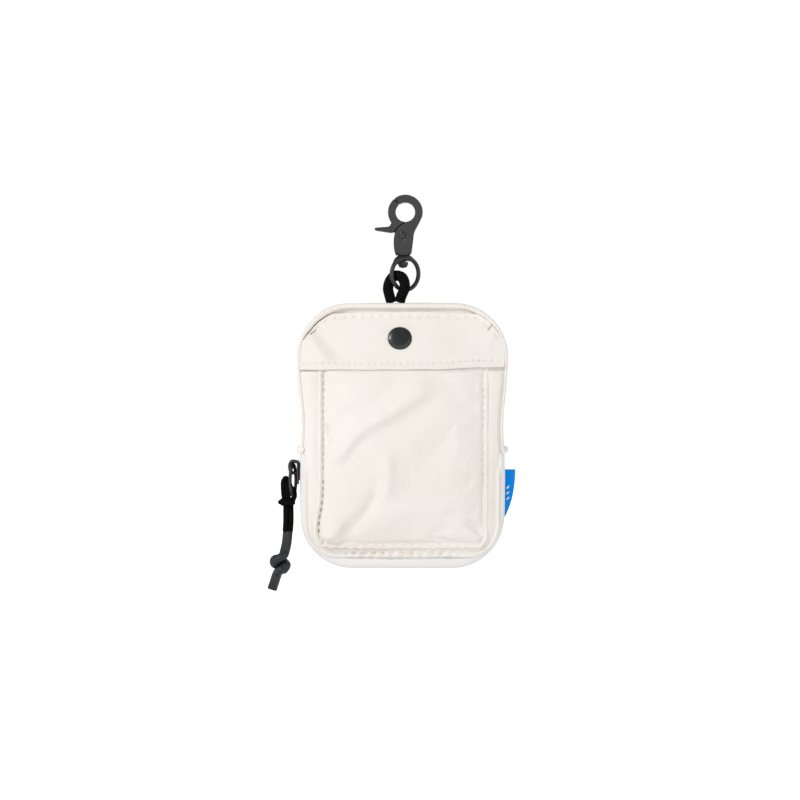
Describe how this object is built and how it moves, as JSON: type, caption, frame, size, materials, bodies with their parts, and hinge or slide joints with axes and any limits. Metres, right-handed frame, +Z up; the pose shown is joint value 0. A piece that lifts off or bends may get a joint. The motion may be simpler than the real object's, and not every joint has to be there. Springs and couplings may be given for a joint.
{
  "type": "treat pouch",
  "caption": "Small padded cloth pouch with a snap-closed mouth, a front pocket and a zip round its lower half, hung by a cord loop from a swivel scissor hook.",
  "frame": {"origin": "where the hook rests on what it hangs from: the inner top of the hook's ring", "axes": "+Z up, +X to the viewer's right, the pouch's front faces -Y"},
  "size_m": [0.124, 0.0275, 0.1987],
  "materials": {
    "canvas": "woven matte off-white cloth",
    "zip_tape": "woven polyester tape",
    "zip_coil": "nylon coil",
    "black_metal": "satin black coating",
    "black_cord": "braided cord",
    "grey_sleeve": "matte shrink tube",
    "label": "woven label"
  },
  "bodies": {
    "hook": {"hook_body": "black_metal", "gate_pin": "black_metal", "gate_spring": "black_metal", "swivel_post": "black_metal"},
    "gate": {"hook_gate": "black_metal"},
    "swivel": {"swivel_ring": "black_metal"},
    "pouch": {"top_loop": "black_cord", "back_panel": "canvas", "gusset_top": "canvas", "gusset_bottom": "canvas", "rim_binding": "canvas", "mouth_facing": "canvas", "snap_stud": "black_metal", "snap_post": "black_metal", "front_panel_upper": "canvas", "pocket_upper": "canvas", "zip_coil_rear": "zip_coil", "zip_tape_rear": "zip_tape", "end_tab_left": "canvas", "end_tab_right": "canvas", "side_label": "label"},
    "lip": {"mouth_lip": "canvas", "lip_backing": "canvas", "snap_cap": "black_metal", "snap_socket": "black_metal"},
    "door": {"front_panel_lower": "canvas", "pocket_lower": "canvas", "zip_coil_front": "zip_coil", "zip_tape_front": "zip_tape"},
    "slider": {"slider_body": "black_metal", "slider_bridge": "black_metal"},
    "pull": {"pull_ring": "black_metal"},
    "puller": {"puller_cord": "black_cord", "puller_sleeve": "grey_sleeve"}
  },
  "joints": [
    {"name": "gate_hinge", "type": "hinge", "parent": "hook", "child": "gate", "pos_m": [-0.0016, 0, -0.0166], "axis": [0, -1, 0], "range_deg": [0, 25], "stiffness_Nm_per_rad": 0.02, "springref_deg": -20.05},
    {"name": "swivel_turn", "type": "hinge", "parent": "hook", "child": "swivel", "pos_m": [-0.0012, 0, -0.028], "axis": [0, 0, 1], "continuous": true},
    {"name": "loop_swing", "type": "hinge", "parent": "swivel", "child": "pouch", "pos_m": [-0.0045, -0.0029, -0.0423], "axis": [0.5, 0.866, 0], "range_deg": [-35, 35]},
    {"name": "lip_open", "type": "hinge", "parent": "pouch", "child": "lip", "pos_m": [-0.0015, -0.018, -0.085], "axis": [1, 0, 0], "range_deg": [0, 28]},
    {"name": "zip_door_open", "type": "hinge", "parent": "pouch", "child": "door", "pos_m": [-0.0015, -0.0188, -0.126], "axis": [-1, 0, 0], "range_deg": [0, 55]},
    {"name": "zip_slide", "type": "slide", "parent": "pouch", "child": "slider", "axis": [0, 0, -1], "range_m": [0, 0.014]},
    {"name": "pull_lift", "type": "hinge", "parent": "slider", "child": "pull", "pos_m": [-0.0564, -0.008, -0.1316], "axis": [0, 1, 0], "range_deg": [0, 90]},
    {"name": "puller_swing", "type": "hinge", "parent": "pull", "child": "puller", "pos_m": [-0.0562, -0.008, -0.1472], "axis": [0.3419, 0.9397, 0], "range_deg": [0, 60]}
  ]
}
